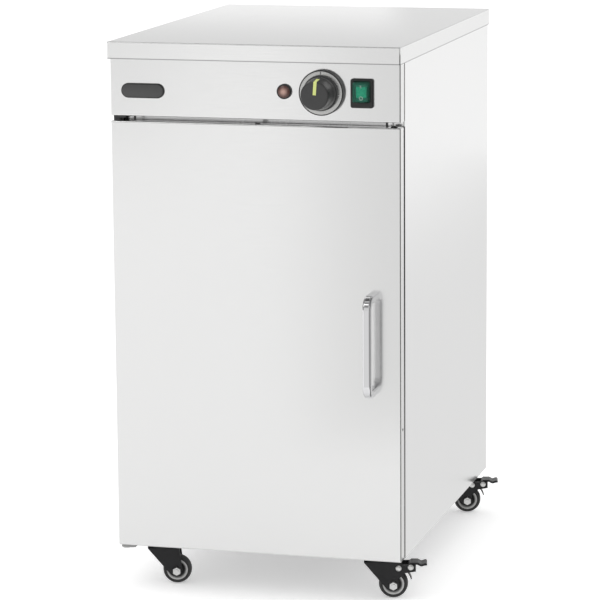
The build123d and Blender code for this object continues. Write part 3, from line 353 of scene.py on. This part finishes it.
# Steels and other metals
front_steel = steel("front_steel", 0.8, ALONG_X)
# The sides' steel is the front's satin painted lighter: painted light for the brighter sides
side_steel_painted_lighter = steel("side_steel_painted_lighter", 0.88, UPRIGHT)
lid_steel = steel_with_hem_shade("lid_steel", 0.82, ALONG_X, lid_low.z)
inner_steel = metal(
    "inner_steel", grey(0.66), grey(0.72), rough=(0.2, 0.28), grain=30.0, stretch=UPRIGHT, bump=0.01
)
chrome = metal(
    "chrome", grey(0.73, 0.74), grey(0.77, 0.78), rough=(0.05, 0.09), grain=60.0, stretch=UPRIGHT, bump=0.01
)
zinc = metal("zinc", grey(0.68, 0.67), grey(0.8, 0.79), rough=(0.34, 0.46), grain=400.0, bump=0.1)
wire = metal("wire", grey(0.6, 0.61), grey(0.72, 0.73), rough=(0.12, 0.22), grain=200.0)
element_steel = metal("element_steel", (0.16, 0.14, 0.13), (0.3, 0.27, 0.24), rough=(0.4, 0.6), grain=60.0)
copper = metal("copper", (0.55, 0.27, 0.16), (0.7, 0.38, 0.24), rough=(0.3, 0.45), grain=200.0)
spun_silver = metal("spun_silver", grey(0.48, 0.47), grey(0.56, 0.55), rough=(0.2, 0.3), grain=700.0)

# Plastics, rubbers, insulation and paints
black_plastic = plastic("black_plastic", grey(0.012), grey(0.02), rough=(0.35, 0.5), grain=900.0)
knob_black = plastic("knob_black", grey(0.034), grey(0.042), rough=(0.16, 0.22), grain=1200.0)
badge_black = plastic("badge_black", grey(0.06), grey(0.07), rough=(0.35, 0.45), grain=1200.0)
fork_black = plastic(
    "fork_black", grey(0.012, 0.013), grey(0.02, 0.021), rough=(0.3, 0.45), grain=500.0, gloss=0.3
)
tyre_rubber = plastic("tyre_rubber", grey(0.02), grey(0.032), rough=(0.5, 0.7), grain=700.0, bump=0.2)
gasket_rubber = plastic("gasket_rubber", grey(0.03), grey(0.05), rough=(0.6, 0.8), grain=500.0)
white_plastic = plastic(
    "white_plastic", (0.6, 0.58, 0.52), (0.7, 0.68, 0.62), rough=(0.4, 0.55), grain=400.0
)
magnet_dark = plastic("magnet_dark", (0.06, 0.05, 0.045), (0.1, 0.08, 0.07), rough=(0.45, 0.6), grain=400.0)
wool = plastic("wool", (0.5, 0.46, 0.34), (0.66, 0.6, 0.46), rough=(0.85, 1.0), grain=220.0, bump=0.8)
pointer_paint = plastic(
    "pointer_paint", (0.66, 0.74, 0.22), (0.74, 0.8, 0.3), rough=(0.4, 0.55), grain=500.0, bump=0.05
)
mark_paint = plastic(
    "mark_paint", (0.86, 0.88, 0.86), (0.92, 0.94, 0.92), rough=(0.4, 0.55), grain=500.0, bump=0.05
)

# Which material each node gets: by its own name, or else by its slot in the record
node_materials = {
    "hinge_brackets": hinge_metal(),
    "door_outer_skin": front_steel,
    "control_fascia": front_steel,
    "top_cover": lid_steel,
}
for corner in corners:
    node_materials[corner + "_hub"] = hub_plastic(corner)
slot_materials = {
    "satin_steel": side_steel_painted_lighter,
    "inner_steel": inner_steel,
    "chrome_wire": wire,
    "chrome_handle": chrome,
    "zinc": zinc,
    "element_steel": element_steel,
    "insulation": wool,
    "lamp_red": lens_glass(),
    "black_plastic": black_plastic,
    "knob_black": knob_black,
    "boot_green": clear_boot(),
    "rocker_green": shaded_rocker(),
    "copper": copper,
    "spindle_steel": zinc,
    "white_plastic": white_plastic,
    "gasket_rubber": gasket_rubber,
    "fork_black": fork_black,
    "tyre_rubber": tyre_rubber,
    "magnet_dark": magnet_dark,
}
for part in frame["record"]["subparts"]:
    node = part["node"]
    material = node_materials.get(node) or slot_materials[part["material_slot"]]
    mesh = frame["nodes"][node].data
    mesh.materials.clear()
    mesh.materials.append(material)


# Forms that the small pieces share
def loft(name, loops, material, body, closed=False):
    """Piece whose surface joins loops of points, closed in a ring or capped at both ends."""
    smooth_angle = math.radians(35)
    shape = bmesh.new()
    rows = [[shape.verts.new(point) for point in loop] for loop in loops]
    pairs = list(zip(rows, rows[1:]))
    if closed:
        pairs.append((rows[-1], rows[0]))
    else:
        shape.faces.new(rows[0])
        shape.faces.new(rows[-1])
    for first, second in pairs:
        for step in range(len(first)):
            beside = (step + 1) % len(first)
            shape.faces.new((first[step], first[beside], second[beside], second[step]))
    bmesh.ops.recalc_face_normals(shape, faces=shape.faces)
    mesh = bpy.data.meshes.new(name)
    shape.to_mesh(mesh)
    shape.free()
    for polygon in mesh.polygons:
        polygon.use_smooth = True
    mesh.set_sharp_from_angle(angle=smooth_angle)
    mesh.materials.append(material)
    piece = add_object(name, mesh)
    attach(piece, body)


def turned(name, centre, axis, rings, material, body, segments=48, closed=False):
    """Turned piece: each ring has a radius, which may change round the turn, and a level on the axis."""
    rotation = turn_to(axis)
    loops = []
    for radius, level in rings:
        loop = []
        for step in range(segments):
            angle = 2 * math.pi * step / segments
            reach = radius(angle) if callable(radius) else radius
            point = Vector((reach * math.cos(angle), reach * math.sin(angle), level))
            loop.append(Vector(centre) + rotation @ point)
        loops.append(loop)
    loft(name, loops, material, body, closed)


def rounded_outline(width, length, radius, steps):
    """Points of a rectangle with round corners, about its middle."""
    points = []
    for quarter in range(4):
        side_x = 1 if quarter in (0, 3) else -1
        side_y = 1 if quarter in (0, 1) else -1
        for step in range(steps + 1):
            angle = math.pi / 2 * (quarter + step / steps)
            x = side_x * (width / 2 - radius) + radius * math.cos(angle)
            y = side_y * (length / 2 - radius) + radius * math.sin(angle)
            points.append((x, y))
    return points


def plate(name, centre, material, body, width, length, thickness, radius, edge):
    """Plate that faces the front, with round corners and a soft front edge."""
    bend = 0.3 * edge
    layers = ((0.0, 0.0), (0.0, thickness - edge), (bend, thickness - bend), (edge, thickness))
    loops = []
    for inset, ahead in layers:
        outline = rounded_outline(width - 2 * inset, length - 2 * inset, radius - inset, steps=6)
        loops.append([Vector(centre) + Vector((x, -ahead, z)) for x, z in outline])
    loft(name, loops, material, body)


def bar(name, low, high, material, body, edge):
    """Bar between two corners, with its upright edges rounded."""
    middle = (Vector(low) + Vector(high)) / 2
    size = Vector(high) - Vector(low)
    outline = rounded_outline(size.x, size.y, edge, steps=3)
    loops = [[Vector((middle.x + x, middle.y + y, z)) for x, y in outline] for z in (low[2], high[2])]
    loft(name, loops, material, body)


def screw(name, centre, axis, radius):
    """Pan head screw on the cabinet, with a cross recess."""
    arm = 0.62 * radius
    half_width = 0.14 * radius
    floor_share = 0.7
    least_slope = 0.01
    top = 0.62 * radius
    recess_level = 0.35 * top

    def cross(angle):
        from_arm = abs((angle + math.pi / 4) % (math.pi / 2) - math.pi / 4)
        return min(arm / math.cos(from_arm), half_width / max(math.sin(from_arm), least_slope))

    def cross_floor(angle):
        return floor_share * cross(angle)

    dome = ((1.0, 0.0), (1.0, 0.25), (0.93, 0.65), (0.78, 0.92), (0.68, 1.0))
    rings = [(share * radius, level * top) for share, level in dome]
    rings += [(cross, top), (cross_floor, recess_level)]
    turned(name, centre, axis, rings, zinc, "cabinet")


# Small pieces that belong to the look
def badge():
    """Bare name plate with round ends, a dark bevelled rim and a dull face."""
    left_of_middle = 153.9 * MM
    level = 694.0 * MM
    rim = 3.0 * MM
    centre = Vector((middle_x - left_of_middle, front_y, level))
    plate(
        "badge_rim", centre, black_plastic, "cabinet",
        width=60.3 * MM, length=19.9 * MM, thickness=rim, radius=9.9 * MM, edge=1.3 * MM,
    )
    centre.y -= rim
    plate(
        "badge_face", centre, badge_black, "cabinet",
        width=57.2 * MM, length=16.8 * MM, thickness=0.2 * MM, radius=8.3 * MM, edge=0.1 * MM,
    )


def dial_ring():
    """Silver ring in the groove of the bezel, with one index mark at the top."""
    groove = 0.6 * MM
    inner = 22.2 * MM
    crest = 22.8 * MM
    outer = 28.8 * MM
    top = 0.5 * MM
    mark_rise = 0.6 * MM
    centre = Vector((dial.x, bezel_front + groove, dial.z))
    rings = ((inner, 0.0), (inner, 0.7 * top), (crest, top), (outer, 0.1 * top), (outer, 0.0))
    turned("dial_ring", centre, FORWARD, rings, spun_silver, "cabinet", segments=96, closed=True)
    centre.z += (inner + outer) / 2 + mark_rise
    plate(
        "dial_mark", centre, black_plastic, "cabinet",
        width=0.9 * MM, length=4.2 * MM, thickness=0.85 * top, radius=0.3 * MM, edge=0.05 * MM,
    )


def knob_pointer():
    """Paint line in the knob's groove: from the middle of the face over its edge and along the side."""
    lean = math.radians(4.0)
    half_width = 2.2 * MM
    start = 0.9 * MM
    face_radius = 18.8 * MM
    edge = 2.2 * MM
    depth = 0.58 * MM
    lift = 0.45 * MM
    wrap = 15.9 * MM
    side_flare = 3.5 * MM
    side_length = 28.6 * MM
    bend = math.radians(83.0)
    steps = 6
    up = Vector((math.sin(lean), 0, math.cos(lean)))
    across = Vector((math.cos(lean), 0, -math.sin(lean)))
    behind = Vector(BACKWARD)
    centre = Vector((dial.x, knob_front, dial.z))
    bend_middle = face_radius - edge
    floor_run = edge - depth
    reach = floor_run + lift
    stations = [((start, depth), (start, depth - lift))]
    for step in range(steps + 1):
        share = step / steps
        angle = bend * share
        floor = (bend_middle + share * floor_run, depth + share * floor_run)
        outer = (bend_middle + reach * math.sin(angle), edge - reach * math.cos(angle))
        stations.append((floor, outer))
    end_radius = face_radius + side_flare / side_length * wrap - depth
    stations.append(((end_radius, wrap), (end_radius + lift, wrap)))
    loops = []
    for floor, outer in stations:
        loop = []
        for side, (radius, back) in ((-1, floor), (1, floor), (1, outer), (-1, outer)):
            loop.append(centre + up * radius + behind * back + across * (side * half_width))
        loops.append(loop)
    loft("knob_pointer", loops, pointer_paint, "knob")


def rocker_marks():
    """On and off signs on the two ends of the rocker."""
    tilt = math.radians(6.0)
    rocker_half = 10.75 * MM
    face = -11.5 * MM
    dish = 1.4 * MM
    paint = 0.1 * MM
    bar_half = 0.95 * MM
    bar_places = (6.6 * MM, 8.6 * MM, 10.4 * MM)
    ring_inner = 1.5 * MM
    ring_outer = 2.75 * MM
    ring_place = -7.0 * MM
    segments = 40

    def on_face(across, along, lift):
        ahead = face + dish * (1 - abs(along) / rocker_half) - lift
        y = ahead * math.cos(tilt) - along * math.sin(tilt)
        z = ahead * math.sin(tilt) + along * math.cos(tilt)
        return rocker_pivot + Vector((across, y, z))

    def section(first, last):
        return ((first, 0.0), (last, 0.0), (last, paint), (first, paint))

    on_sign = []
    for along in bar_places:
        on_sign.append([on_face(across, along, lift) for across, lift in section(-bar_half, bar_half)])
    loft("rocker_on_sign", on_sign, mark_paint, "rocker")
    off_sign = []
    for step in range(segments):
        angle = 2 * math.pi * step / segments
        loop = []
        for radius, lift in section(ring_inner, ring_outer):
            along = ring_place + radius * math.sin(angle)
            loop.append(on_face(radius * math.cos(angle), along, lift))
        off_sign.append(loop)
    loft("rocker_off_sign", off_sign, mark_paint, "rocker", closed=True)


def back_screws():
    """Two columns of screws along the sides of the back."""
    radius = 3.4 * MM
    margin = 7.0 * MM
    end_gap = 20.0 * MM
    rows = 4
    lowest = back_low.z + end_gap
    highest = lid_low.z - end_gap
    for side, x in (("left", back_low.x + margin), ("right", back_high.x - margin)):
        for row in range(rows):
            z = lowest + (highest - lowest) * row / (rows - 1)
            screw(f"back_screw_{side}_{row + 1}", (x, back_high.y, z), BACKWARD, radius)


def caster_screws():
    """Four screws under each caster plate."""
    radius = 3.6 * MM
    spacing = 18.0 * MM
    plate_thickness = 2.5 * MM
    underside = plates_high.z - plate_thickness
    for corner in corners:
        pivot = joints[corner + "_swivel_turn"]["pos_m"]
        for number, (right, back) in enumerate(((1, 1), (1, -1), (-1, -1), (-1, 1))):
            place = (pivot[0] + right * spacing, pivot[1] + back * spacing, underside)
            screw(f"{corner}_plate_screw_{number + 1}", place, DOWN, radius)


def hinge_plug():
    """Cap in the spare hinge hole on the other side of the door's top."""
    from_side = 10.8 * MM
    profile = ((4.6, 0.0), (4.6, 0.4), (3.8, 1.0), (2.0, 1.3))
    rings = [(radius * MM, level * MM) for radius, level in profile]
    place = (door_high.x - from_side, hinge.y, door_high.z)
    turned("door_hole_plug", place, UP, rings, black_plastic, "door", segments=32)


def door_edge_plug():
    """Small cap in the door's right-hand edge."""
    level = 246.0 * MM
    profile = ((1.9, 0.0), (1.9, 0.15), (1.5, 0.3))
    rings = [(radius * MM, out * MM) for radius, out in profile]
    place = (door_high.x, (door_low.y + door_high.y) / 2, level)
    turned("door_edge_plug", place, RIGHT, rings, black_plastic, "door", segments=24)


def seal_and_seam_shadow():
    """Dark seal that shows between the door and the side panel, and a dark strip of painted shadow in the
    seam of the fascia above it.
    """
    side = side_high.x
    seal_gap = 0.2 * MM
    seal_sunk = 1.2 * MM
    seal_proud = 0.8 * MM
    seal_bottom = door_low.z + 2.0 * MM
    low = (side - seal_sunk, door_high.y + seal_gap, seal_bottom)
    high = (side + seal_proud, side_low.y - seal_gap, door_high.z)
    bar("door_seal_edge", low, high, seal_rubber(), "cabinet", edge=0.5 * MM)
    # Painted shadow: a dark strip in the seam between the fascia and the side panel
    shadow_strip_half = 1.0 * MM
    shadow_strip_proud = 0.3 * MM
    low = (side, side_low.y - shadow_strip_half, fascia_low.z)
    high = (side + shadow_strip_proud, side_low.y + shadow_strip_half, lid_low.z)
    bar("fascia_seam_shadow", low, high, magnet_dark, "cabinet", edge=0.1 * MM)


def gap_slit_shadows():
    """Two small dark bars of painted shadow that hang from the fascia into the gap over the door, over the
    slits in the door's top edge.
    """
    half_width = 1.3 * MM
    front = front_y + 2.5 * MM
    back = front_y + 5.5 * MM
    bottom = door_high.z + 0.8 * MM
    # Painted shadow: dark bars where the slits in the door's top edge show dark
    for name, from_middle in (("left", -167.0 * MM), ("right", 180.5 * MM)):
        x = middle_x + from_middle
        low = (x - half_width, front, bottom)
        high = (x + half_width, back, fascia_low.z)
        bar(f"gap_slit_shadow_{name}", low, high, black_plastic, "cabinet", edge=0.6 * MM)


def door_top_block():
    """Small dark block on the door's top edge."""
    half_width = 3.4 * MM
    front = front_y + 2.0 * MM
    back = front_y + 5.0 * MM
    top = door_high.z + 1.8 * MM
    x = middle_x + 4.3 * MM
    low = (x - half_width, front, door_high.z)
    high = (x + half_width, back, top)
    bar("door_top_dark_block", low, high, gasket_rubber, "door", edge=1.0 * MM)


badge()
dial_ring()
knob_pointer()
rocker_marks()
back_screws()
caster_screws()
hinge_plug()
seal_and_seam_shadow()
gap_slit_shadows()
door_top_block()
door_edge_plug()


# Camera, fitted to the photo
def fit_camera():
    """Camera at the photo's viewing angle, placed from the middle of the door's lower edge."""
    image_pixels = 600
    focal_pixels = 3049.1
    pitch = 0.1861
    roll = 0.0077
    yaw = 0.2683
    right_of_camera = -0.0593
    ahead_of_camera = 4.0163
    over_camera = -1.1074
    flat_right = Vector((math.cos(yaw), math.sin(yaw), 0))
    flat_ahead = Vector((-math.sin(yaw), math.cos(yaw), 0))
    upright = Vector(UP)
    ahead = flat_ahead * math.cos(pitch) - upright * math.sin(pitch)
    above = flat_ahead * math.sin(pitch) + upright * math.cos(pitch)
    right = flat_right * math.cos(roll) - above * math.sin(roll)
    up = flat_right * math.sin(roll) + above * math.cos(roll)
    target = Vector((middle_x, front_y, door_low.z))
    place = target - flat_right * right_of_camera - flat_ahead * ahead_of_camera - upright * over_camera
    data = bpy.data.cameras.new("camera")
    data.sensor_width = 36.0
    data.lens = focal_pixels / image_pixels * data.sensor_width
    data.clip_end = 50.0
    camera = add_object("camera", data)
    stand(camera, place, Matrix((right, up, -ahead)).transposed())
    scene.camera = camera


# Studio
def mirrored(tree, path):
    """One for what the object mirrors straight to the eye, and none for light that lit something dull."""
    dull = reckon(tree, "MINIMUM", path.outputs["Diffuse Depth"], 1.0)
    return reckon(tree, "MULTIPLY", path.outputs["Is Glossy Ray"], reckon(tree, "SUBTRACT", 1.0, dull))


def studio_world():
    """Soft light, dimmer near the horizon; reflections see a white backdrop and a dark room over it."""
    overhead = 0.98
    horizon = 0.5
    horizon_fade = 0.4
    room = 0.3
    backdrop_slope = 0.55
    backdrop_fade = 0.1
    world = bpy.data.worlds.new("studio")
    scene.world = world
    world.use_nodes = True
    tree = world.node_tree
    background = tree.nodes["Background"]
    background.inputs["Color"].default_value = WHITE
    path = tree.nodes.new("ShaderNodeLightPath")
    axes = coordinates(tree, "Generated")
    backdrop_top = reckon(tree, "MULTIPLY", reckon(tree, "MAXIMUM", axes["Y"], 0.0), backdrop_slope)
    over = reckon(tree, "SUBTRACT", axes["Z"], backdrop_top)
    reflected = spread(tree, over, 1.0, room, 0.0, backdrop_fade, smooth=True)
    strength = spread(tree, axes["Z"], horizon, overhead, 0.0, horizon_fade, smooth=True)
    seen = reckon(tree, "MAXIMUM", path.outputs["Is Camera Ray"], path.outputs["Is Transmission Ray"])
    for ray, value in ((mirrored(tree, path), reflected), (seen, 1.0)):
        change = reckon(tree, "MULTIPLY", ray, reckon(tree, "SUBTRACT", value, strength))
        strength = reckon(tree, "ADD", strength, change)
    tree.links.new(strength, background.inputs["Strength"])


def flat_sheet(name, width, length):
    """Flat sheet about its own middle."""
    signs = ((-1, -1), (1, -1), (1, 1), (-1, 1))
    points = [(x * width / 2, y * length / 2, 0) for x, y in signs]
    mesh = bpy.data.meshes.new(name)
    mesh.from_pydata(points, [], [(0, 1, 2, 3)])
    return add_object(name, mesh)


def studio_floor():
    """Pale floor that glows to the camera and to mirrors, and keeps the part's shadow."""
    size = 28.0
    camera_glow = 0.4
    mirror_glow = 0.15
    floor = flat_sheet("floor", size, size)
    material, tree, shader = new_material("floor")
    shader.inputs["Base Color"].default_value = (*grey(0.86), 1.0)
    shader.inputs["Roughness"].default_value = 0.9
    shader.inputs["Specular IOR Level"].default_value = 0.1
    shader.inputs["Emission Color"].default_value = WHITE
    path = tree.nodes.new("ShaderNodeLightPath")
    seen = reckon(tree, "MULTIPLY", path.outputs["Is Camera Ray"], camera_glow)
    again = reckon(tree, "MAXIMUM", mirrored(tree, path), path.outputs["Is Transmission Ray"])
    glow = reckon(tree, "ADD", seen, reckon(tree, "MULTIPLY", again, mirror_glow))
    tree.links.new(glow, shader.inputs["Emission Strength"])
    floor.data.materials.append(material)


def key_lamp():
    """Large soft lamp, high in front on the left."""
    position = Vector((-4.0, -5.5, 6.5))
    target = Vector((0, 0, 0.4))
    data = bpy.data.lights.new("key", "AREA")
    data.shape = "RECTANGLE"
    data.size = 4.0
    data.size_y = 4.0
    data.energy = 80.0
    light = add_object("key", data)
    stand(light, position, turn_to(target - position, "-Z"))


def card(name, centre, facing, width, length, strength, fade):
    """Panel of one brightness that only reflections see, with soft edges."""
    panel = flat_sheet(name, width, length)
    stand(panel, centre, turn_to(facing))
    material, tree, shader = new_material(name)
    tree.nodes.remove(shader)
    glow = tree.nodes.new("ShaderNodeEmission")
    glow.inputs["Strength"].default_value = strength
    clear = tree.nodes.new("ShaderNodeBsdfTransparent")
    mix = tree.nodes.new("ShaderNodeMixShader")
    path = tree.nodes.new("ShaderNodeLightPath")
    axes = coordinates(tree)
    from_side = reckon(tree, "SUBTRACT", width / 2, reckon(tree, "ABSOLUTE", axes["X"]))
    from_end = reckon(tree, "SUBTRACT", length / 2, reckon(tree, "ABSOLUTE", axes["Y"]))
    inside = spread(tree, reckon(tree, "MINIMUM", from_side, from_end), 0.0, 1.0, 0.0, fade, smooth=True)
    tree.links.new(reckon(tree, "MULTIPLY", inside, mirrored(tree, path)), mix.inputs[0])
    tree.links.new(clear.outputs[0], mix.inputs[1])
    tree.links.new(glow.outputs[0], mix.inputs[2])
    tree.links.new(mix.outputs[0], tree.nodes["Material Output"].inputs["Surface"])
    panel.data.materials.append(material)
    panel.visible_camera = False
    panel.visible_diffuse = False
    panel.visible_transmission = False
    panel.visible_shadow = False


def studio_cards():
    """Panels that the steel mirrors, each placed for one part of it."""
    off_floor = 0.003

    # Grey on the right, in front of the part, for edges that face right
    place = (middle_x + 0.65, front_y - 0.8, 0.38)
    card("right_flag", place, LEFT, width=1.9, length=0.76, strength=0.42, fade=0.06)

    # Dark strip close to the door's right-hand edge
    place = (door_high.x + 0.02, front_y - 0.016, 0.4)
    card("edge_flag", place, LEFT, width=0.056, length=0.7, strength=0.15, fade=0.004)

    # Pale grey in front, for the right half of the door
    place = (middle_x + 0.175, front_y - 0.9, 0.45)
    card("front_flag", place, BACKWARD, width=0.87, length=1.1, strength=0.84, fade=0.25)

    # Pale grey on the floor behind, for the right side panel
    place = (0.3, 1.85, off_floor)
    card("side_flag", place, UP, width=1.8, length=4.7, strength=0.8, fade=0.45)

    # Grey behind the part, for the front of the lid
    place = (middle_x, back_high.y + 0.3, 1.1)
    card("lid_flag", place, FORWARD, width=1.6, length=0.6, strength=0.7, fade=0.06)

    # Pale grey behind the lid's right end
    place = (0.22, back_high.y + 0.29, 0.82)
    card("lid_edge_flag", place, FORWARD, width=0.56, length=0.2, strength=0.8, fade=0.08)

    # Pale grey far in front on the left, for the left end of the fascia and skirt
    place = (-1.62, front_y - 3.4, 0.43)
    card("far_flag", place, BACKWARD, width=0.86, length=0.66, strength=0.89, fade=0.08)

    # White strip high in front, for bends that face forward and a little up
    place = (middle_x - 1.0, front_y - 4.0, 1.75)
    card("front_strip", place, BACKWARD, width=4.0, length=0.16, strength=1.0, fade=0.03)

    # White in front on the right, turned to the knob
    place = (0.6, -1.53, 1.32)
    to_knob = (-0.5, 1.25, -0.62)
    card("knob_light", place, to_knob, width=0.9, length=0.7, strength=1.0, fade=0.15)

    # Grey overhead, for bends that face up
    place = (middle_x - 0.3, front_y - 0.5, 3.0)
    card("top_light", place, DOWN, width=1.2, length=1.2, strength=0.5, fade=0.2)


fit_camera()
studio_world()
studio_floor()
key_lamp()
studio_cards()
scene.view_settings.view_transform = "Standard"
